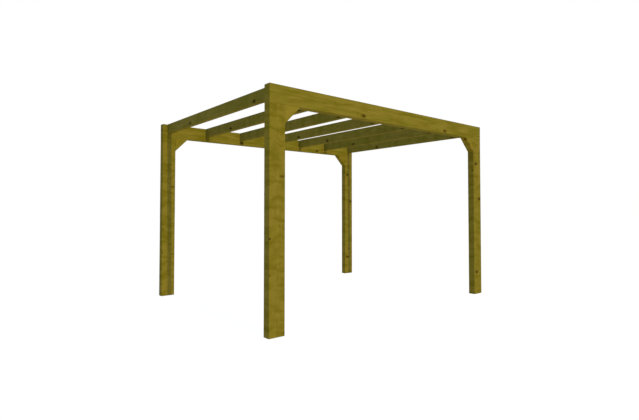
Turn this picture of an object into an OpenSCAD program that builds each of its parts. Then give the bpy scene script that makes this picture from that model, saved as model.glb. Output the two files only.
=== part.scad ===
// Free-standing garden pergola of planed, pressure-treated softwood.
// A front and a rear portal frame, each a beam tenoned onto two posts with solid corner braces,
// carry a row of rafters whose ends are housed in the inner faces of the beams.
// Millimetres, +Z up, front towards -Y, origin on the ground at the middle of the plan.

/* [Overall size] */
// Width over the outer edges of the posts
frame_w = 3640; // [2600:10:4800]
// Depth over the outer faces of the front and rear frames
frame_d = 2800; // [1800:10:4000]
// Height from the ground to the top of the beams
frame_h = 2400; // [2100:10:3000]

/* [Posts and beams] */
// Width of a post, seen from the front
post_w = 180; // [120:5:240]
// Thickness of the posts, beams and braces, front to rear
frame_t = 90; // [70:5:140]
// Height of a beam
beam_h = 185; // [160:5:260]

/* [Post tenons] */
// Width of the stub tenon on a post, along the beam
tenon_w = 100; // [60:5:110]
// Thickness of the stub tenon, front to rear
tenon_t = 30; // [20:2:36]
// Height of the stub tenon above the shoulders of the post
tenon_h = 75; // [40:5:100]
// Play between a tenon and each side of its mortise
tenon_play = 0.5; // [0.2:0.1:1.5]
// Free height left in a mortise above its tenon
mortise_relief = 5; // [2:1:15]

/* [Corner braces] */
// Length of a brace along the underside of its beam
brace_run = 182; // [100:2:400]
// Length of a brace down the inner edge of its post
brace_drop = 182; // [100:2:400]

/* [Rafters] */
// Number of rafters, with the two that stand over the posts
rafter_count = 7; // [3:1:11]
// Thickness of a rafter
rafter_w = 56; // [30:1:80]
// Height of a rafter, from its seat to the top of the beams
rafter_h = 125; // [80:5:150]

/* [Rafter housings] */
// Depth of a housing, cut into the inner face of a beam
housing_depth = 15; // [6:1:18]
// Play between a rafter and each cheek of its housing
housing_play = 0.5; // [0.2:0.1:1.5]

/* [Arrises] */
// Width of the eased arris along the long edges of the posts and beams
post_arris = 3; // [1:0.5:8]
// Width of the eased arris along the long edges of the rafters
rafter_arris = 2.5; // [1:0.5:6]
// Width of the eased arris along the slanting edges of the braces
brace_arris = 3; // [1:0.5:8]

/* [Hidden] */
timber_colour = "#857323";
rafter_colour = "#58541E";
brace_colour = "#7F6E22";
cut_over = 1;

post_x = (frame_w - post_w) / 2;
frame_y = (frame_d - frame_t) / 2;
post_h = frame_h - beam_h;
beam_z = frame_h - beam_h / 2;
inner_face_y = frame_d / 2 - frame_t;
inner_edge_x = frame_w / 2 - post_w;
rafter_pitch = 2 * post_x / (rafter_count - 1);
rafter_len = 2 * (inner_face_y + housing_depth);
rafter_z = frame_h - rafter_h / 2;

function rafter_x(index) = (index - 1) * rafter_pitch - post_x;
function rafter_name(index) = str("rafter_", index);

// Section of a planed timber, centred, with its four corners eased.
module eased_section(width, height, arris) {
    half_w = width / 2;
    half_h = height / 2;
    polygon([
        [-half_w + arris, -half_h],
        [half_w - arris, -half_h],
        [half_w, -half_h + arris],
        [half_w, half_h - arris],
        [half_w - arris, half_h],
        [-half_w + arris, half_h],
        [-half_w, half_h - arris],
        [-half_w, -half_h + arris]
    ]);
}

// Upright timber that stands on the ground, with its wide faces to front and rear.
// Its shoulders carry the beam, and its stub tenon keeps the beam in place.
module post(side_x, side_y) {
    color(timber_colour)
        translate([side_x * post_x, side_y * frame_y, 0])
            union() {
                linear_extrude(post_h)
                    eased_section(post_w, frame_t, post_arris);
                translate([0, 0, post_h])
                    linear_extrude(tenon_h)
                        square([tenon_w, tenon_t], center = true);
            }
}

// Beam of the front frame, with a housing for each rafter in its inner face
// and a mortise for each post in its underside.
module front_beam() {
    color(timber_colour)
        difference() {
            translate([-frame_w / 2, -frame_y, beam_z])
                rotate([90, 0, 90])
                    linear_extrude(frame_w)
                        eased_section(frame_t, beam_h, post_arris);
            for (index = [1 : rafter_count])
                housing(rafter_x(index));
            for (side_x = [-1, 1])
                mortise(side_x * post_x);
        }
}

// Beam of the rear frame, the front one mirrored.
module rear_beam() {
    mirror([0, 1, 0])
        front_beam();
}

// Space of one open-topped housing, from the seat of the rafter to above the beam.
module housing(x) {
    cheek = rafter_w + 2 * housing_play;
    translate([x - cheek / 2, -inner_face_y - housing_depth, frame_h - rafter_h])
        cube([cheek, housing_depth + cut_over, rafter_h + cut_over]);
}

// Space of one mortise, from below the underside of the beam to above the tenon.
module mortise(x) {
    mortise_w = tenon_w + 2 * tenon_play;
    mortise_t = tenon_t + 2 * tenon_play;
    translate([x - mortise_w / 2, -frame_y - mortise_t / 2, post_h - cut_over])
        cube([mortise_w, mortise_t, cut_over + tenon_h + mortise_relief]);
}

// Joist that runs from beam to beam, its top level with them.
module rafter(index) {
    color(rafter_colour)
        translate([rafter_x(index), rafter_len / 2, rafter_z])
            rotate([90, 0, 0])
                linear_extrude(rafter_len)
                    eased_section(rafter_w, rafter_h, rafter_arris);
}

// Solid corner brace of the front right corner: a stout board laid along the slant,
// its two ends mitred to the underside of the beam and the inner edge of the post.
module corner_brace() {
    slant = atan2(brace_drop, brace_run);
    slant_len = norm([brace_run, brace_drop]);
    board_w = 2 * brace_run * brace_drop / slant_len;
    color(brace_colour)
        translate([inner_edge_x, -frame_y, post_h])
            intersection() {
                rotate([90, 0, 0])
                    linear_extrude(frame_t, center = true)
                        polygon([[0, 0], [-brace_run, 0], [0, -brace_drop]]);
                translate([-brace_run, 0, 0])
                    rotate([0, slant, 0])
                        translate([0, 0, board_w / 2])
                            rotate([90, 0, 90])
                                linear_extrude(slant_len)
                                    eased_section(frame_t, board_w, brace_arris);
            }
}

// Corner brace at the given side of the frame.
module brace(side_x, side_y) {
    mirror([side_x < 0 ? 1 : 0, 0, 0])
        mirror([0, side_y > 0 ? 1 : 0, 0])
            corner_brace();
}

front_beam();
rear_beam();
post(-1, -1);  // front_left_post
post(1, -1);  // front_right_post
post(-1, 1);  // rear_left_post
post(1, 1);  // rear_right_post
brace(-1, -1);  // front_left_brace
brace(1, -1);  // front_right_brace
brace(-1, 1);  // rear_left_brace
brace(1, 1);  // rear_right_brace
for (index = [1 : rafter_count])
    rafter(index);
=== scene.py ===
# %% [markdown]
# A garden pergola in green-treated softwood.
# Seventeen straight timbers make it: two beams, four posts, four corner braces and seven rafters.
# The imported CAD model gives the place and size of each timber, so this script only dresses them:
# it rounds their arrises, runs the grain along each one and gives the wood its figure and its knots.

# %% Load the frame
import math
import random

import bmesh
import bpy
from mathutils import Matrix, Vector


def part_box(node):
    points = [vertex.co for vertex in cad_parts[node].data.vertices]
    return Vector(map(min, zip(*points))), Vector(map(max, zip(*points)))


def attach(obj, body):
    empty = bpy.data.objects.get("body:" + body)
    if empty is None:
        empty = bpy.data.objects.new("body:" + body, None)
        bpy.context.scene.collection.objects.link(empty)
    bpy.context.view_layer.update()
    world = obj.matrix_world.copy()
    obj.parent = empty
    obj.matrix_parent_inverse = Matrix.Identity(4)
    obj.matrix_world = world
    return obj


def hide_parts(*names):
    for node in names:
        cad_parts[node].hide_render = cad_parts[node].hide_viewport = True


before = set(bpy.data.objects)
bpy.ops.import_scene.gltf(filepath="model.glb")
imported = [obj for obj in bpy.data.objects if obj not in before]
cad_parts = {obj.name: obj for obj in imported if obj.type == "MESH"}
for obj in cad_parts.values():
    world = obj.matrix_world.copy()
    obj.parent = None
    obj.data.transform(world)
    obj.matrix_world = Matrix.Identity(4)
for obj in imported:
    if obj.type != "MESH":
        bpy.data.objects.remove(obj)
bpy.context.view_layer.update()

# %% [markdown]
# Every size of a timber comes from the frame, so the pieces follow the CAD model when it changes.
# A post's node also holds the tenon inside the beam, so a post is shown only up to the beam's underside.

# %% Measure the timbers
MM = 0.001
rafter_names = sorted(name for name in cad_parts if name.startswith("rafter_"))
beam_low, beam_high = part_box("front_beam")
post_low, post_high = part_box("front_left_post")
rafter_low, rafter_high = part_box(rafter_names[0])
next_rafter_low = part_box(rafter_names[1])[0]

beam_size = beam_high - beam_low
post_size = Vector((post_high.x - post_low.x, post_high.y - post_low.y, beam_low.z - post_low.z))
rafter_size = rafter_high - rafter_low
rafter_mid = (rafter_low + rafter_high) / 2
rafter_pitch = next_rafter_low.x - rafter_low.x
housing_depth = beam_high.y - rafter_low.y
print("beam", [round(v, 3) for v in beam_size])
print("post", [round(v, 3) for v in post_size])
print("rafter", [round(v, 3) for v in rafter_size], "every", round(rafter_pitch, 4))

# %% [markdown]
# Colours are picked as sRGB hex values, the way a picture shows them.
# Blender's shaders count light in linear values, so one function converts them.

# %% Colour helper
def linear(hex_colour):
    """Linear RGBA of an sRGB hex colour such as #857323."""
    channels = [int(hex_colour[i:i + 2], 16) / 255 for i in (1, 3, 5)]
    curved = [c / 12.92 if c <= 0.04045 else ((c + 0.055) / 1.055) ** 2.4 for c in channels]
    return (*curved, 1.0)


print("a sunlit face of the timber, linear", [round(c, 3) for c in linear("#857323")])

# %% [markdown]
# Node trees, for shaders and for geometry, are built by one small function.
# It adds a node, applies its settings, and feeds each named socket with a link or a plain value.

# %% Node helper
NODE_STEP = 190


def add(tree, kind, feeds=None, **settings):
    """Adds one node to a tree, with its settings, links and values."""
    node = tree.nodes.new(kind)
    node.location.x = NODE_STEP * len(tree.nodes)
    for setting, value in settings.items():
        setattr(node, setting, value)
    for socket, value in (feeds or {}).items():
        if isinstance(value, bpy.types.NodeSocket):
            tree.links.new(value, node.inputs[socket])
        else:
            node.inputs[socket].default_value = value
    return node


print("node helper ready, nodes are", NODE_STEP, "units apart")

# %% [markdown]
# Wood is a solid pattern, so a face, an edge and a sawn end have to agree with each other.
# One way is to unwrap each board. Here each vertex keeps its place in the log that it was sawn from,
# as three numbers: along the board, across its wide face and through its thickness,
# counted from the heart of the log. A second set counts from the middle of the board.

# %% Where a vertex lies in its board and in its log
LOG_SEED = 11
HEART_NEAR = 75 * MM
HEART_FAR = 120 * MM
HEART_ASIDE = 25 * MM
LOG_LENGTH = 40.0
saw_mill = random.Random(LOG_SEED)


def lay_grain(piece, along, across, through, centres):
    """Stores board_place and log_place on a piece made of one board for each centre."""
    logs = []
    for _ in centres:
        side = saw_mill.choice((-1, 1))
        logs.append(Vector((
            saw_mill.uniform(0, LOG_LENGTH),
            saw_mill.uniform(-HEART_ASIDE, HEART_ASIDE),
            side * saw_mill.uniform(HEART_NEAR, HEART_FAR),
        )))
    board_place = piece.data.attributes.new("board_place", "FLOAT_VECTOR", "POINT")
    log_place = piece.data.attributes.new("log_place", "FLOAT_VECTOR", "POINT")
    for vertex in piece.data.vertices:
        nearest = min(range(len(centres)), key=lambda n: (vertex.co - centres[n]).length)
        offset = vertex.co - centres[nearest]
        place = Vector((offset.dot(along), offset.dot(across), offset.dot(through)))
        board_place.data[vertex.index].vector = place
        log_place.data[vertex.index].vector = place + logs[nearest]
    print(piece.name, "grain laid on", len(centres), "board(s)")


print("the heart of a log lies", round(HEART_NEAR / MM), "to", round(HEART_FAR / MM), "mm from its board")

# %% [markdown]
# Growth rings are rings round the heart of the log, pale in spring and darker towards autumn.
# A wave texture would draw them too, but a plain distance from the heart, cut into years,
# gives lines along the faces and arcs on the sawn ends from one and the same rule.
# In each year the wood darkens slowly through the summer and turns pale again at once in winter.
# Real rings are 3 to 6 mm wide, which only close views can show.

# %% Growth rings
RING_WIDTH = 5.5 * MM
RING_WANDER = 8 * MM
WANDER_LONG = 420 * MM
WANDER_WIDE = 85 * MM
LOG_TAPER = 0.009
SOFT_DETAIL = 2
SUMMER = {"From Min": 0.25, "From Max": 0.86}
WINTER = {"From Min": 0.9, "From Max": 1.0, "To Min": 1, "To Max": 0}


def growth_rings(tree, log_place):
    """Late wood of the growth rings, 0 to 1."""
    cells = (1 / WANDER_LONG, 1 / WANDER_WIDE, 1 / WANDER_WIDE)
    wander_at = add(tree, "ShaderNodeVectorMath", {0: log_place, 1: cells}, operation="MULTIPLY")
    wander = add(tree, "ShaderNodeTexNoise",
                 {"Vector": wander_at.outputs[0], "Scale": 1, "Detail": SOFT_DETAIL})
    section = add(tree, "ShaderNodeVectorMath", {0: log_place, 1: (0, 1, 1)}, operation="MULTIPLY")
    radius = add(tree, "ShaderNodeVectorMath", {0: section.outputs[0]}, operation="LENGTH")
    taper = add(tree, "ShaderNodeVectorMath", {0: log_place, 1: (LOG_TAPER, 0, 0)}, operation="DOT_PRODUCT")
    grown = add(tree, "ShaderNodeMath", {0: radius.outputs["Value"], 1: taper.outputs["Value"]},
                operation="ADD")
    wavy = add(tree, "ShaderNodeMath", {0: wander.outputs[0], 1: 2 * RING_WANDER, 2: grown.outputs[0]},
               operation="MULTIPLY_ADD")
    years = add(tree, "ShaderNodeMath", {0: wavy.outputs[0], 1: RING_WIDTH}, operation="DIVIDE")
    season = add(tree, "ShaderNodeMath", {0: years.outputs[0]}, operation="FRACT").outputs[0]
    darkening, paling = (
        add(tree, "ShaderNodeMapRange", {"Value": season} | part,
            interpolation_type="SMOOTHSTEP").outputs[0]
        for part in (SUMMER, WINTER)
    )
    return add(tree, "ShaderNodeMath", {0: darkening, 1: paling}, operation="MULTIPLY").outputs[0]


print("a ring every", round(RING_WIDTH / MM, 1), "mm, wandering by", round(RING_WANDER / MM), "mm")

# %% [markdown]
# A knot is a branch that ran through the board, so it shows on both faces at the same place.
# Painting it on would miss that, so each knot is a long, thin ball in the object's own space:
# the pattern measures how far a point is from the nearest one, and that is 1 at the rim of the knot.
# A little noise makes its outline uneven, a few rings of its own run round it, and some knots are paler.

# %% Knots
FAR_THROUGH = 50.0
KNOT_WOBBLE = 5 * MM
WOBBLE_SIZE = 22 * MM
NOISE_MIDDLE = (0.5, 0.5, 0.5)
KNOT_RIM = {"From Min": 0.45, "From Max": 1.45, "To Max": 0}
KNOT_RINGS = 3.0
RING_SHADE = {"From Min": -1, "From Max": 1, "To Min": 0.78, "To Max": 1}


def knots_at(tree, knots):
    """Distance from the nearest knot, 1 at its rim, and how dark the knots are, 0 to 1."""
    place = add(tree, "ShaderNodeTexCoord").outputs["Object"]
    noise = add(tree, "ShaderNodeTexNoise",
                {"Vector": place, "Scale": 1 / WOBBLE_SIZE, "Detail": SOFT_DETAIL})
    centred = add(tree, "ShaderNodeVectorMath", {0: noise.outputs["Color"], 1: NOISE_MIDDLE},
                  operation="SUBTRACT")
    uneven = add(tree, "ShaderNodeVectorMath", {0: centred.outputs[0], 1: 3 * (2 * KNOT_WOBBLE,), 2: place},
                 operation="MULTIPLY_ADD")
    nearest, darkest = None, None
    for centre, radii, depth in knots:
        ball = add(tree, "ShaderNodeMapping",
                   {"Vector": uneven.outputs[0], "Location": centre, "Scale": radii}, vector_type="TEXTURE")
        distance = add(tree, "ShaderNodeVectorMath", {0: ball.outputs[0]},
                       operation="LENGTH").outputs["Value"]
        dark = add(tree, "ShaderNodeMapRange", {"Value": distance, "To Min": depth} | KNOT_RIM,
                   interpolation_type="SMOOTHSTEP").outputs[0]
        if nearest is None:
            nearest, darkest = distance, dark
        else:
            nearest = add(tree, "ShaderNodeMath", {0: nearest, 1: distance}, operation="MINIMUM").outputs[0]
            darkest = add(tree, "ShaderNodeMath", {0: darkest, 1: dark}, operation="MAXIMUM").outputs[0]
    turns = add(tree, "ShaderNodeMath", {0: nearest, 1: KNOT_RINGS * math.tau}, operation="MULTIPLY")
    wave = add(tree, "ShaderNodeMath", {0: turns.outputs[0]}, operation="SINE")
    ringed = add(tree, "ShaderNodeMapRange", {"Value": wave.outputs[0]} | RING_SHADE)
    heart = add(tree, "ShaderNodeMath", {0: darkest, 1: ringed.outputs[0]}, operation="MULTIPLY")
    return nearest, heart.outputs[0]


print("a knot's ball reaches", FAR_THROUGH, "m through the timber, with", KNOT_RINGS, "rings in it")

# %% [markdown]
# The preservative soaks in unevenly, and that is what the eye sees first from a few steps away:
# wavy olive streaks, long ones on the beams, short ones across the posts and rafters.
# They come from noise that is stretched along the streaks, read at places that sway to and fro
# and bend round the knots. Each kind of timber has a figure of its own: the size of a streak and
# the size and reach of a sway in millimetres, and how dark the streaks get.

# %% Streaks of preservative
KNOT_BEND = 0.5
SWAY_GAIN = 4
STREAK_DETAIL = 2.5
STREAK_SPAN = {"From Min": 0.38, "From Max": 0.70}


def streaks(tree, place, figure, swell):
    """Dark streaks of that size and depth, swaying to and fro and bent round the knots."""
    sway_cells = [1 / (size * MM) for size in figure["sway_size"]]
    streak_cells = [1 / (size * MM) for size in figure["streak_size"]]
    swing = [SWAY_GAIN * reach * MM for reach in figure["sway"]]
    bend = [KNOT_BEND * reach * MM for reach in figure["sway"]]
    sway_at = add(tree, "ShaderNodeVectorMath", {0: place, 1: sway_cells}, operation="MULTIPLY")
    swaying = add(tree, "ShaderNodeTexNoise",
                  {"Vector": sway_at.outputs[0], "Scale": 1, "Detail": SOFT_DETAIL})
    centred = add(tree, "ShaderNodeVectorMath", {0: swaying.outputs["Color"], 1: NOISE_MIDDLE},
                  operation="SUBTRACT")
    swayed = add(tree, "ShaderNodeVectorMath", {0: centred.outputs[0], 1: swing, 2: place},
                 operation="MULTIPLY_ADD")
    bent = add(tree, "ShaderNodeVectorMath", {0: swell, 1: bend, 2: swayed.outputs[0]},
               operation="MULTIPLY_ADD")
    streak_at = add(tree, "ShaderNodeVectorMath", {0: bent.outputs[0], 1: streak_cells},
                    operation="MULTIPLY")
    soaked = add(tree, "ShaderNodeTexNoise",
                 {"Vector": streak_at.outputs[0], "Scale": 1, "Detail": STREAK_DETAIL})
    streak = add(tree, "ShaderNodeMapRange",
                 {"Value": soaked.outputs[0], "To Max": figure["depth"]} | STREAK_SPAN,
                 interpolation_type="SMOOTHSTEP")
    return streak.outputs[0]


BEAM_FIGURE = {
    "streak_size": (300, 36, 120), "sway_size": (300, 170, 300), "sway": (0, 22, 0), "depth": 0.7,
}
POST_FIGURE = {
    "streak_size": (170, 700, 60), "sway_size": (190, 700, 230), "sway": (0, 0, 45), "depth": 0.75,
}
RAFTER_FIGURE = {
    "streak_size": (120, 260, 400), "sway_size": (200, 160, 400), "sway": (25, 0, 0), "depth": 0.5,
}
print("streaks on a beam", BEAM_FIGURE["streak_size"], "mm")

# %% [markdown]
# Fibres are the finest lines of the wood. A photo of wood would show them, but only on one face;
# noise that is stretched along the log runs through the whole timber, as the rings do.
# Fibres and rings together are the lines that a close view shows, and a sawn end cuts straight
# through the rings, so they stand out more there than on a face.

# %% Fibres and rings together
FIBRE_LONG = 170 * MM
FIBRE_WIDE = 4 * MM
FIBRE_SHARE = 0.6
FINE_DETAIL = 3
SAWN_END = {"From Min": 0.8, "From Max": 0.95, "To Min": 0.45, "To Max": 0.8}


def wood_lines(tree, log_place, grain_axis):
    """Fibres and growth rings, the rings deeper on faces that look along the grain."""
    cells = (1 / FIBRE_LONG, 1 / FIBRE_WIDE, 1 / FIBRE_WIDE)
    fibre_at = add(tree, "ShaderNodeVectorMath", {0: log_place, 1: cells}, operation="MULTIPLY")
    fibre = add(tree, "ShaderNodeTexNoise",
                {"Vector": fibre_at.outputs[0], "Scale": 1, "Detail": FINE_DETAIL})
    normal = add(tree, "ShaderNodeNewGeometry").outputs["True Normal"]
    facing = add(tree, "ShaderNodeVectorMath", {0: normal, 1: grain_axis}, operation="DOT_PRODUCT")
    end_grain = add(tree, "ShaderNodeMath", {0: facing.outputs["Value"]}, operation="ABSOLUTE")
    ring_depth = add(tree, "ShaderNodeMapRange", {"Value": end_grain.outputs[0]} | SAWN_END)
    late_wood = growth_rings(tree, log_place)
    rings = add(tree, "ShaderNodeMath", {0: late_wood, 1: ring_depth.outputs[0]}, operation="MULTIPLY")
    lines = add(tree, "ShaderNodeMath", {0: fibre.outputs[0], 1: FIBRE_SHARE, 2: rings.outputs[0]},
                operation="MULTIPLY_ADD")
    return lines.outputs[0]


print("fibres", round(FIBRE_WIDE / MM), "mm wide and", round(FIBRE_LONG / MM), "mm long")

# %% [markdown]
# The long arrises of a timber get a little darker: painted shade along the edges.
# A painted edge would need a line drawn along each one. Here a point counts as near a long arris
# when it is near the rim of the section both ways, which the place in the board tells by itself.

# %% Painted shade on the arrises
# How far in from a long arris the painted shade reaches.
EDGE_SHADE_REACH = 5 * MM


def near_edge(tree, board_place, half_section):
    """1 on the long arrises of a board and 0 from EDGE_SHADE_REACH inwards."""
    sides = add(tree, "ShaderNodeVectorMath", {0: board_place}, operation="ABSOLUTE")
    offsets = add(tree, "ShaderNodeSeparateXYZ", {0: sides.outputs[0]}).outputs
    across, through = (
        add(tree, "ShaderNodeMapRange",
            {"Value": offsets[axis], "From Min": half - EDGE_SHADE_REACH, "From Max": half},
            interpolation_type="SMOOTHSTEP").outputs[0]
        for axis, half in zip("YZ", half_section)
    )
    return add(tree, "ShaderNodeMath", {0: across, 1: through}, operation="MULTIPLY").outputs[0]


print("arrises rubbed", round(EDGE_SHADE_REACH / MM), "mm deep")

# %% [markdown]
# The copper salts of the treatment turn the pale wood olive, deeper in the streaks.
# Each pattern is a share, from 0 to 1, of one shade that is laid over what is there already:
# fibres and rings first, then green patches and streaks, then the knots with a soft brown halo,
# and last the painted shade along the arrises. The order matters, as it does with coats of stain.
# A mix node has several sockets of one name, so its colours go in and out by number.

# %% Coats of colour
WOOD_SHADES = {
    "pale": linear("#98852E"),
    "fibre": linear("#746318"),
    "green": linear("#817520"),
    "streak": linear("#6C6106"),
    "knot_halo": linear("#5E4A06"),
    "knot_heart": linear("#3B2B00"),
}
UPTAKE_SIZE = 240 * MM
GREEN_PATCH = {"From Min": 0.46, "From Max": 0.64, "To Max": 0.6}
# How dark the painted shade along the arrises gets.
EDGE_SHADE_DEPTH = 0.2
MIX_SHARE = 0
MIX_UNDER = 6
MIX_OVER = 7
MIX_RESULT = 2


def coats(tree, tone, place, lines, streak, halo, heart, edge):
    """Colour of the treated wood, with each shade taken times the tone."""
    shades = {
        name: [channel * factor for channel, factor in zip(shade, (*tone, 1))]
        for name, shade in WOOD_SHADES.items()
    }
    uptake = add(tree, "ShaderNodeTexNoise",
                 {"Vector": place, "Scale": 1 / UPTAKE_SIZE, "Detail": FINE_DETAIL})
    green = add(tree, "ShaderNodeMapRange", {"Value": uptake.outputs[0]} | GREEN_PATCH,
                interpolation_type="SMOOTHSTEP").outputs[0]
    # Painted shade along the long arrises: a darker coat there.
    painted_shade = add(tree, "ShaderNodeMath", {0: edge, 1: EDGE_SHADE_DEPTH}, operation="MULTIPLY").outputs[0]
    colour = shades["pale"]
    for share, shade in (
        (lines, "fibre"), (green, "green"), (streak, "streak"),
        (halo, "knot_halo"), (heart, "knot_heart"), (painted_shade, "knot_halo"),
    ):
        coat = add(tree, "ShaderNodeMix", {MIX_SHARE: share, MIX_UNDER: colour, MIX_OVER: shades[shade]},
                   data_type="RGBA")
        colour = coat.outputs[MIX_RESULT]
    return colour


print(len(WOOD_SHADES), "shades of treated wood")

# %% [markdown]
# The finish is planed, pressure-treated softwood. The plane leaves it flat and almost matt,
# and lifts the fibres a little, so the same lines drive colour, roughness and bump.
# Round a knot the streaks bend and a halo darkens the wood, and both fade with the distance from it.
# Each kind of timber also has a tone, a factor on red, green and blue; the rafters' darker, bluer one is
# painted shade.

# %% Planed, pressure-treated softwood
SWELL = {"From Min": 0.4, "From Max": 5.0, "To Min": 1, "To Max": 0}
HALO = {"From Min": 0.8, "From Max": 2.4, "To Min": 0.5, "To Max": 0}
ROUGHNESS = {"From Min": 0, "From Max": 1, "To Min": 0.8, "To Max": 0.66}
BUMP_STRENGTH = 0.5
BUMP_HEIGHT = 0.4 * MM
WOOD_IOR = 1.5
WOOD_SPECULAR = 0.02


def treated_softwood(name, grain_axis, half_section, place_name, figure, knots, tone):
    """Planed, pressure-treated softwood with its grain along one axis."""
    material = bpy.data.materials.new(name)
    material.use_nodes = True
    tree = material.node_tree
    shader = tree.nodes["Principled BSDF"]
    log_place = add(tree, "ShaderNodeAttribute", attribute_name="log_place").outputs["Vector"]
    board_place = add(tree, "ShaderNodeAttribute", attribute_name="board_place").outputs["Vector"]
    object_place = add(tree, "ShaderNodeTexCoord").outputs["Object"]
    place = log_place if place_name == "log" else object_place

    distance, heart = knots_at(tree, knots)
    swell, halo = (
        add(tree, "ShaderNodeMapRange", {"Value": distance} | fade,
            interpolation_type="SMOOTHSTEP").outputs[0]
        for fade in (SWELL, HALO)
    )
    streak = streaks(tree, place, figure, swell)
    lines = wood_lines(tree, log_place, grain_axis)
    # The long arrises, where the coats lay painted shade.
    edge = near_edge(tree, board_place, half_section)
    colour = coats(tree, tone, place, lines, streak, halo, heart, edge)
    rough = add(tree, "ShaderNodeMapRange", {"Value": lines} | ROUGHNESS)
    bump = add(tree, "ShaderNodeBump",
               {"Height": lines, "Strength": BUMP_STRENGTH, "Distance": BUMP_HEIGHT})

    tree.links.new(colour, shader.inputs["Base Color"])
    tree.links.new(rough.outputs[0], shader.inputs["Roughness"])
    tree.links.new(bump.outputs[0], shader.inputs["Normal"])
    shader.inputs["IOR"].default_value = WOOD_IOR
    shader.inputs["Specular IOR Level"].default_value = WOOD_SPECULAR
    print(material.name, len(tree.nodes), "nodes", len(knots), "knots")
    return material


print("roughness from", ROUGHNESS["To Min"], "between the lines to", ROUGHNESS["To Max"], "on them")

# %% [markdown]
# The same few knots come back on like timbers: one pair on both beams, one pair on every rafter,
# and on each side of the pergola the same ones on the front and the rear post.
# So their places are listed once, and each runs through the timber as a branch does.
# A few more sit on one arris only. Each has its middle, its half widths along x, y and z,
# and its depth, from pale to dark.

# %% Knots as they lie on the timbers
KNOT_WIDE = 16 * MM
KNOT_LONG = 21 * MM
BROAD_KNOT = 27 * MM
SMALL_KNOT = 9 * MM
PIN_KNOT = 6 * MM
BEAM_KNOT_UP = 34 * MM
beam_knots = [
    ((x, 0, beam_low.z + BEAM_KNOT_UP), (BROAD_KNOT, FAR_THROUGH, KNOT_WIDE), 0.9)
    for x in (-0.573, 0.955)
]
post_knots = [
    ((-1.678, 0, 1.520), (KNOT_LONG, FAR_THROUGH, SMALL_KNOT), 0.5),
    ((-1.707, 0, 1.050), (PIN_KNOT, FAR_THROUGH, PIN_KNOT), 0.35),
    ((1.700, 0, 1.858), (BROAD_KNOT, FAR_THROUGH, KNOT_WIDE), 1),
    ((1.780, 0, 1.356), (BROAD_KNOT, FAR_THROUGH, KNOT_WIDE), 1),
    ((1.700, 0, 0.310), (BROAD_KNOT, FAR_THROUGH, KNOT_WIDE), 1),
]
edge_knots = [
    ((-1.820, -1.316, 1.350), 3 * (SMALL_KNOT,), 1),
    ((-1.812, -1.400, 0.928), 3 * (SMALL_KNOT,), 0.9),
    ((-1.813, -1.400, 0.587), 3 * (PIN_KNOT,), 0.5),
    ((-1.812, 1.305, 0.932), 3 * (SMALL_KNOT,), 1),
    ((-1.820, 1.305, 0.596), 3 * (SMALL_KNOT,), 1),
    ((1.640, -1.383, 1.762), 3 * (SMALL_KNOT,), 0.5),
    ((-1.647, -1.400, 0.033), 3 * (SMALL_KNOT,), 0.4),
]
brace_knots = [((1.477, -1.376, 2.196), 3 * (KNOT_WIDE,), 1)]
rafter_knots = [
    ((0, y, rafter_low.z + up), (FAR_THROUGH, BROAD_KNOT, KNOT_WIDE), 1)
    for y, up in ((0.544, 30 * MM), (-1.018, 27 * MM))
]
print(len(beam_knots), "knots on a beam,", len(rafter_knots), "on a rafter")

# %% [markdown]
# Each kind of timber gets its own material from the one recipe, because the grain runs another way in each.
# The beams and rafters count from their log; posts and braces count from the pergola's own origin,
# so that their streaks carry on from post to brace and the seam between them hardly shows.
# A brace is no plain board, so its section is given as too wide to have painted shade on an arris.

# %% Finishes of the four kinds of timber
LONG_X = Vector((1, 0, 0))
LONG_Y = Vector((0, 1, 0))
LONG_Z = Vector((0, 0, 1))
NO_EDGE = (1.0, 1.0)
BEAM_TONE = (0.97, 0.98, 0.96)
POST_TONE = (0.98, 0.96, 0.91)
BRACE_TONE = (1.05, 1.03, 0.97)
# The rafters' tone is darker and bluer than the rest: painted shade of the rafters shading one another.
RAFTER_TONE_AND_SHADE = (0.85, 0.88, 1.00)
beam_wood = treated_softwood(
    "planed_treated_softwood_beam", LONG_X, (beam_size.z / 2, beam_size.y / 2), "log",
    BEAM_FIGURE, beam_knots, BEAM_TONE)
post_wood = treated_softwood(
    "planed_treated_softwood_post", LONG_Z, (post_size.x / 2, post_size.y / 2), "object",
    POST_FIGURE, post_knots + edge_knots, POST_TONE)
brace_wood = treated_softwood(
    "planed_treated_softwood_brace", LONG_Z, NO_EDGE, "object",
    POST_FIGURE, brace_knots, BRACE_TONE)
rafter_wood = treated_softwood(
    "planed_treated_softwood_rafter", LONG_Y, (rafter_size.z / 2, rafter_size.x / 2), "log",
    RAFTER_FIGURE, rafter_knots, RAFTER_TONE_AND_SHADE)

# %% [markdown]
# A planed timber is one section, with its corners eased, drawn along a straight line.
# A bevelled cube would do for a single one, but that rule serves every post, beam and rafter here,
# so it is written once as a Geometry Nodes tree with named sizes.
# Every tree here starts with such inputs and ends alike: real meshes, with their finish on.

# %% Geometry tree of one planed timber
ARRIS_STEPS = 3


def open_tree(name, inputs):
    """A geometry tree with those named inputs and a geometry output, and the outputs of its input node."""
    tree = bpy.data.node_groups.new(name, "GeometryNodeTree")
    tree.interface.new_socket("Geometry", in_out="OUTPUT", socket_type="NodeSocketGeometry")
    for label, kind in inputs.items():
        tree.interface.new_socket(label, in_out="INPUT", socket_type="NodeSocket" + kind)
    return tree, add(tree, "NodeGroupInput").outputs


def close_tree(tree, shape, finish):
    """Makes the instances of a shape real, gives it its finish and hands it to the output."""
    real = add(tree, "GeometryNodeRealizeInstances", {0: shape.outputs[0]})
    dressed = add(tree, "GeometryNodeSetMaterial", {"Geometry": real.outputs[0], "Material": finish})
    add(tree, "NodeGroupOutput", {0: dressed.outputs[0]})
    print("tree", tree.name, len(tree.nodes), "nodes")


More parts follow.
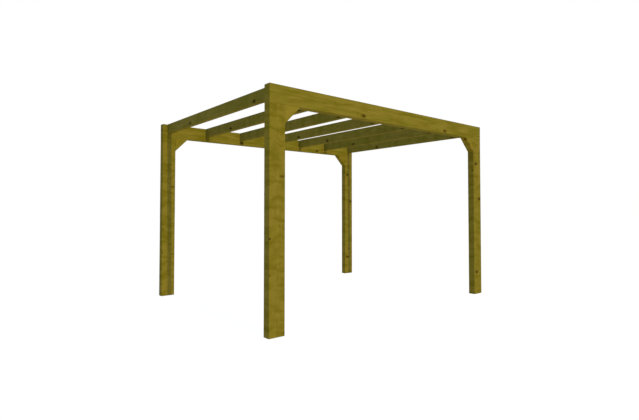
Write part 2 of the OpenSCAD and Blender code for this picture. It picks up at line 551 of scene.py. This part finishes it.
timber_inputs = {
    "Start": "Vector", "End": "Vector",
    "Width": "Float", "Height": "Float", "Arris": "Float", "Finish": "Material",
}
timber_tree, timber_in = open_tree("planed_timber", timber_inputs)
timber_line = add(timber_tree, "GeometryNodeCurvePrimitiveLine",
                  {"Start": timber_in["Start"], "End": timber_in["End"]})
timber_section = add(timber_tree, "GeometryNodeCurvePrimitiveQuadrilateral",
                     {"Width": timber_in["Width"], "Height": timber_in["Height"]})
eased_section = add(timber_tree, "GeometryNodeFilletCurve",
                    {"Curve": timber_section.outputs[0], "Count": ARRIS_STEPS,
                     "Radius": timber_in["Arris"]},
                    mode="POLY")
timber_solid = add(timber_tree, "GeometryNodeCurveToMesh",
                   {"Curve": timber_line.outputs[0], "Profile Curve": eased_section.outputs[0],
                    "Fill Caps": True})
close_tree(timber_tree, timber_solid, timber_in["Finish"])

# %% [markdown]
# A tree only makes something once an object runs it. The helper gives the tree its sizes,
# lets Blender work out the result and keeps that as a plain mesh, so no modifier is left on the piece.

# %% Growing a piece from a tree
def keep(name, mesh):
    """Puts a finished mesh into the scene as a piece of that name."""
    mesh.name = name
    piece = bpy.data.objects.new(name, mesh)
    bpy.context.scene.collection.objects.link(piece)
    low = [min(v.co[n] for v in mesh.vertices) for n in range(3)]
    high = [max(v.co[n] for v in mesh.vertices) for n in range(3)]
    print(name, len(mesh.polygons), "faces", [round(v, 4) for v in low + high])
    return piece


def grow(name, tree, sizes):
    """Runs a geometry tree with those sizes and keeps the result as a plain mesh."""
    maker = bpy.data.objects.new(name, bpy.data.meshes.new(name))
    bpy.context.scene.collection.objects.link(maker)
    modifier = maker.modifiers.new("maker", "NODES")
    modifier.node_group = tree
    for socket in tree.interface.items_tree:
        if socket.in_out == "INPUT":
            modifier[socket.identifier] = sizes[socket.name]
    grown = maker.evaluated_get(bpy.context.evaluated_depsgraph_get())
    mesh = bpy.data.meshes.new_from_object(grown)
    bpy.data.objects.remove(maker)
    return keep(name, mesh)


print("ready to grow a", timber_tree.name, "from", len(timber_inputs), "named inputs")

# %% [markdown]
# Four posts stand at the corners, wide face to the front, sawn square at the foot.
# They are the planed timber as it is, each from its foot to the underside of its beam.

# %% Posts
ARRIS = 2 * MM
posts = []
for name in ("front_left_post", "front_right_post", "rear_left_post", "rear_right_post"):
    low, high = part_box(name)
    mid = (low + high) / 2
    posts.append(grow(name + "_timber", timber_tree, {
        "Start": (mid.x, mid.y, low.z),
        "End": (mid.x, mid.y, beam_low.z),
        "Width": post_size.x,
        "Height": post_size.y,
        "Arris": ARRIS,
        "Finish": post_wood,
    }))

# %% [markdown]
# Seven like rafters run from beam to beam at one pitch: a row that a tree can set out by itself.
# Copying a rafter by hand would need a place for each. Here the timber is made once and put on each point
# of a line, and then made real, because an export drops instances.

# %% The row of rafters
row_inputs = timber_inputs | {"Rafters": "Int", "Pitch": "Vector"}
row_tree, row_in = open_tree("rafter_row", row_inputs)
one_rafter = add(row_tree, "GeometryNodeGroup", node_tree=timber_tree)
for label in timber_inputs:
    row_tree.links.new(row_in[label], one_rafter.inputs[label])
row_places = add(row_tree, "GeometryNodeMeshLine", {"Count": row_in["Rafters"], "Offset": row_in["Pitch"]})
row = add(row_tree, "GeometryNodeInstanceOnPoints",
          {"Points": row_places.outputs[0], "Instance": one_rafter.outputs[0]})
close_tree(row_tree, row, row_in["Finish"])

rafters = grow("rafters", row_tree, {
    "Start": (rafter_mid.x, rafter_low.y, rafter_mid.z),
    "End": (rafter_mid.x, rafter_high.y, rafter_mid.z),
    "Width": rafter_size.x,
    "Height": rafter_size.z,
    "Arris": ARRIS,
    "Finish": rafter_wood,
    "Rafters": len(rafter_names),
    "Pitch": (rafter_pitch, 0, 0),
})

# %% [markdown]
# Each beam has a row of housings in its inner face, open at the top, in which the rafters' ends sit.
# Modelling the steps by hand would take a loop cut for each; the tree subtracts a row of blocks
# from the planed timber instead, at the same pitch as the rafters.

# %% Beams with their housings
HOUSING_PLAY = 0.5 * MM
housed_inputs = timber_inputs | {"Housings": "Int", "First": "Vector", "Pitch": "Vector", "Cut": "Vector"}
housed_tree, housed_in = open_tree("housed_beam", housed_inputs)
whole_beam = add(housed_tree, "GeometryNodeGroup", node_tree=timber_tree)
for label in timber_inputs:
    housed_tree.links.new(housed_in[label], whole_beam.inputs[label])
cut_places = add(housed_tree, "GeometryNodeMeshLine",
                 {"Count": housed_in["Housings"], "Start Location": housed_in["First"],
                  "Offset": housed_in["Pitch"]})
one_cut = add(housed_tree, "GeometryNodeMeshCube", {"Size": housed_in["Cut"]})
cuts = add(housed_tree, "GeometryNodeInstanceOnPoints",
           {"Points": cut_places.outputs[0], "Instance": one_cut.outputs[0]})
real_cuts = add(housed_tree, "GeometryNodeRealizeInstances", {0: cuts.outputs[0]})
housed = add(housed_tree, "GeometryNodeMeshBoolean",
             {"Mesh 1": whole_beam.outputs[0], "Mesh 2": real_cuts.outputs[0]}, operation="DIFFERENCE")
close_tree(housed_tree, housed, housed_in["Finish"])

beams = []
for name, inner in (("front_beam", 1), ("rear_beam", -1)):
    low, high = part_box(name)
    mid = (low + high) / 2
    inner_y = high.y if inner > 0 else low.y
    beams.append(grow(name + "_timber", housed_tree, {
        "Start": (low.x, mid.y, mid.z),
        "End": (high.x, mid.y, mid.z),
        "Width": beam_size.y,
        "Height": beam_size.z,
        "Arris": ARRIS,
        "Finish": beam_wood,
        "Housings": len(rafter_names),
        "First": (rafter_mid.x, inner_y, high.z),
        "Pitch": (rafter_pitch, 0, 0),
        "Cut": (rafter_size.x + 2 * HOUSING_PLAY, 2 * housing_depth, 2 * rafter_size.z),
    }))

# %% [markdown]
# A corner brace is a solid triangle, as thick as the frame, with its slanting edges eased.
# With three corners it is quickest by hand: two triangles, three walls between them and a small bevel.

# %% Corner braces
ROUND_PROFILE = 0.5


def slants(edge):
    """True for an edge that runs along the slant of a brace."""
    start, end = (corner.co for corner in edge.verts)
    return start.y == end.y and start.x != end.x and start.z != end.z


braces = []
for name in ("front_left_brace", "front_right_brace", "rear_left_brace", "rear_right_brace"):
    low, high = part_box(name)
    corner_x, far_x = (low.x, high.x) if low.x < 0 else (high.x, low.x)
    outline = [(corner_x, high.z), (far_x, high.z), (corner_x, low.z)]
    shape = bmesh.new()
    front, rear = ([shape.verts.new((x, y, z)) for x, z in outline] for y in (low.y, high.y))
    shape.faces.new(front)
    shape.faces.new(reversed(rear))
    for n in range(len(outline)):
        shape.faces.new((front[n], front[n - 1], rear[n - 1], rear[n]))
    bmesh.ops.recalc_face_normals(shape, faces=shape.faces)
    bmesh.ops.bevel(shape, geom=[edge for edge in shape.edges if slants(edge)], offset=ARRIS,
                    segments=ARRIS_STEPS, profile=ROUND_PROFILE, affect="EDGES")
    mesh = bpy.data.meshes.new(name)
    shape.to_mesh(mesh)
    shape.free()
    mesh.materials.append(brace_wood)
    braces.append(keep(name + "_timber", mesh))

# %% [markdown]
# Now each piece learns how its grain runs: along the beams, up the posts, down the slant of a brace.
# It also learns which CAD nodes it stands for.

# %% Lay the grain
seats = {rafters: (rafter_names, "rafter_timber")}
lay_grain(rafters, LONG_Y, LONG_Z, LONG_X,
          [rafter_mid + Vector((rafter_pitch * n, 0, 0)) for n in range(len(rafter_names))])
for group, along, across, slot in (
    (beams, LONG_X, LONG_Z, "beam_timber"),
    (posts, LONG_Z, LONG_X, "post_timber"),
):
    for piece in group:
        node = piece.name.removesuffix("_timber")
        low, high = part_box(node)
        lay_grain(piece, along, across, LONG_Y, [(low + high) / 2])
        seats[piece] = ([node], slot)
for brace in braces:
    node = brace.name.removesuffix("_timber")
    low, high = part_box(node)
    lean = 1 if low.x < 0 else -1
    down_slant = Vector((lean, 0, 1)).normalized()
    off_slant = Vector((-1, 0, lean)).normalized()
    lay_grain(brace, down_slant, off_slant, LONG_Y, [(low + high) / 2])
    seats[brace] = ([node], "brace_timber")

# %% [markdown]
# The eased arrises are narrow strips. Smooth shading on them alone makes them look round,
# and the planed faces stay flat. A strip is known by its width, twice its area over its outline.

# %% Seat the pieces
NARROW = 2 * MM
for piece, (nodes, slot) in seats.items():
    soft = 0
    for face in piece.data.polygons:
        ring = [piece.data.vertices[v].co for v in face.vertices]
        around = sum((ring[n] - ring[n - 1]).length for n in range(len(ring)))
        face.use_smooth = 2 * face.area / around < NARROW
        soft += face.use_smooth
    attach(piece, "root")
    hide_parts(*nodes)
    print(piece.name, "stands for", len(nodes), "node(s),", soft, "strips smooth")

# %% [markdown]
# The studio floor is a plain pale disc. It glows a little so that it stays as white as the backdrop,
# and only a faint shadow shows where the posts stand.

# %% Floor
FLOOR_RADIUS = 60
FLOOR_SIDES = 96
FLOOR_GREY = 0.06
FLOOR_GLOW = 0.96
WHITE = (1, 1, 1, 1)
floor_shape = bmesh.new()
bmesh.ops.create_circle(floor_shape, cap_ends=True, segments=FLOOR_SIDES, radius=FLOOR_RADIUS)
floor_mesh = bpy.data.meshes.new("floor")
floor_shape.to_mesh(floor_mesh)
floor_shape.free()
floor = bpy.data.objects.new("floor", floor_mesh)
bpy.context.scene.collection.objects.link(floor)
paper = bpy.data.materials.new("matt_white_studio_floor")
paper.use_nodes = True
paper_shader = paper.node_tree.nodes["Principled BSDF"]
paper_shader.inputs["Base Color"].default_value = (FLOOR_GREY, FLOOR_GREY, FLOOR_GREY, 1)
paper_shader.inputs["Roughness"].default_value = 1
paper_shader.inputs["Specular IOR Level"].default_value = 0
paper_shader.inputs["Emission Color"].default_value = WHITE
paper_shader.inputs["Emission Strength"].default_value = FLOOR_GLOW
floor_mesh.materials.append(paper)
floor.visible_diffuse = False
floor.visible_glossy = False
floor.visible_shadow = False
print("floor", 2 * FLOOR_RADIUS, "m across")

# %% [markdown]
# Soft light comes from all round: warm from below, as from a pale floor, and bluish from above.
# The camera itself sees plain white there, so the backdrop stays clean whatever the light does.

# %% Soft light from all round
FILL_BELOW = (0.76, 0.69, 0.39, 1)
FILL_ABOVE = (0.20, 0.43, 1.15, 1)
world = bpy.data.worlds.new("studio")
bpy.context.scene.world = world
world.use_nodes = True
sky = world.node_tree
sky.nodes.clear()
direction = add(sky, "ShaderNodeTexCoord").outputs["Generated"]
height = add(sky, "ShaderNodeSeparateXYZ", {0: direction}).outputs["Z"]
above = add(sky, "ShaderNodeMapRange", {"Value": height, "From Min": -1, "From Max": 1}).outputs[0]
fill = add(sky, "ShaderNodeMix", {MIX_SHARE: above, MIX_UNDER: FILL_BELOW, MIX_OVER: FILL_ABOVE},
           data_type="RGBA").outputs[MIX_RESULT]
soft_fill = add(sky, "ShaderNodeBackground", {"Color": fill, "Strength": 1})
backdrop = add(sky, "ShaderNodeBackground", {"Color": WHITE, "Strength": 1})
seen = add(sky, "ShaderNodeLightPath").outputs["Is Camera Ray"]
both = add(sky, "ShaderNodeMixShader", {0: seen, 1: soft_fill.outputs[0], 2: backdrop.outputs[0]})
add(sky, "ShaderNodeOutputWorld", {0: both.outputs[0]})
print("soft light, below", FILL_BELOW[:3], "above", FILL_ABOVE[:3])

# %% [markdown]
# One sharp, warm lamp from the front draws the rafters' shadows down the rear posts and the rear beam.
# A wide, bluish one below it lifts those shadows, and a wide, warm one from behind lights the far faces
# for other views. A lamp's rise and turn say where it stands: degrees up from the ground, and round
# from the front. Its spread is the angle that it fills, and a wider lamp has softer shadows.

# %% Lamps
def hang_lamp(name, energy, tint, spread, rise, turn):
    """Adds a lamp that shines evenly from far away, with its angles in degrees."""
    light = bpy.data.lights.new(name, "SUN")
    light.energy = energy
    light.color = tint
    light.angle = math.radians(spread)
    lamp = bpy.data.objects.new(name, light)
    lamp.rotation_euler = (math.radians(90 - rise), 0, math.radians(turn))
    bpy.context.scene.collection.objects.link(lamp)
    print(name, energy, "W/m2")


hang_lamp("key_light", energy=1.89, tint=(1.0, 0.89, 0.03), spread=0.7, rise=50, turn=-0.6)
hang_lamp("front_fill_light", energy=0.88, tint=(0.47, 0.40, 1.0), spread=70, rise=15, turn=0)
hang_lamp("rear_fill_light", energy=1.6, tint=(1.0, 0.87, 0.3), spread=50, rise=40, turn=150)

# %% [markdown]
# The camera stands at chest height off the front left corner. Its place, turn and lens were solved from
# straight edges of the timbers, and the small shift keeps the uprights where the picture has them.

# %% Camera
PHOTO_WIDE = 639
PHOTO_HIGH = 420
FOCAL_PX = 451.476
AXIS_X_PX = 324.403
AXIS_Y_PX = 196.006
SENSOR_WIDE = 36
CAMERA_PLACE = (-4.1406, -4.9631, 1.2073)
CAMERA_TILT = 91.6589
CAMERA_TURN = -40.0443
camera_data = bpy.data.cameras.new("camera")
camera_data.sensor_width = SENSOR_WIDE
camera_data.lens = FOCAL_PX / PHOTO_WIDE * SENSOR_WIDE
camera_data.shift_x = (PHOTO_WIDE / 2 - AXIS_X_PX) / PHOTO_WIDE
camera_data.shift_y = (AXIS_Y_PX - PHOTO_HIGH / 2) / PHOTO_WIDE
camera = bpy.data.objects.new("camera", camera_data)
camera.location = CAMERA_PLACE
camera.rotation_euler = (math.radians(CAMERA_TILT), 0, math.radians(CAMERA_TURN))
bpy.context.scene.collection.objects.link(camera)
bpy.context.scene.camera = camera
bpy.context.scene.view_settings.view_transform = "Standard"
print("lens", round(camera_data.lens, 2), "mm")
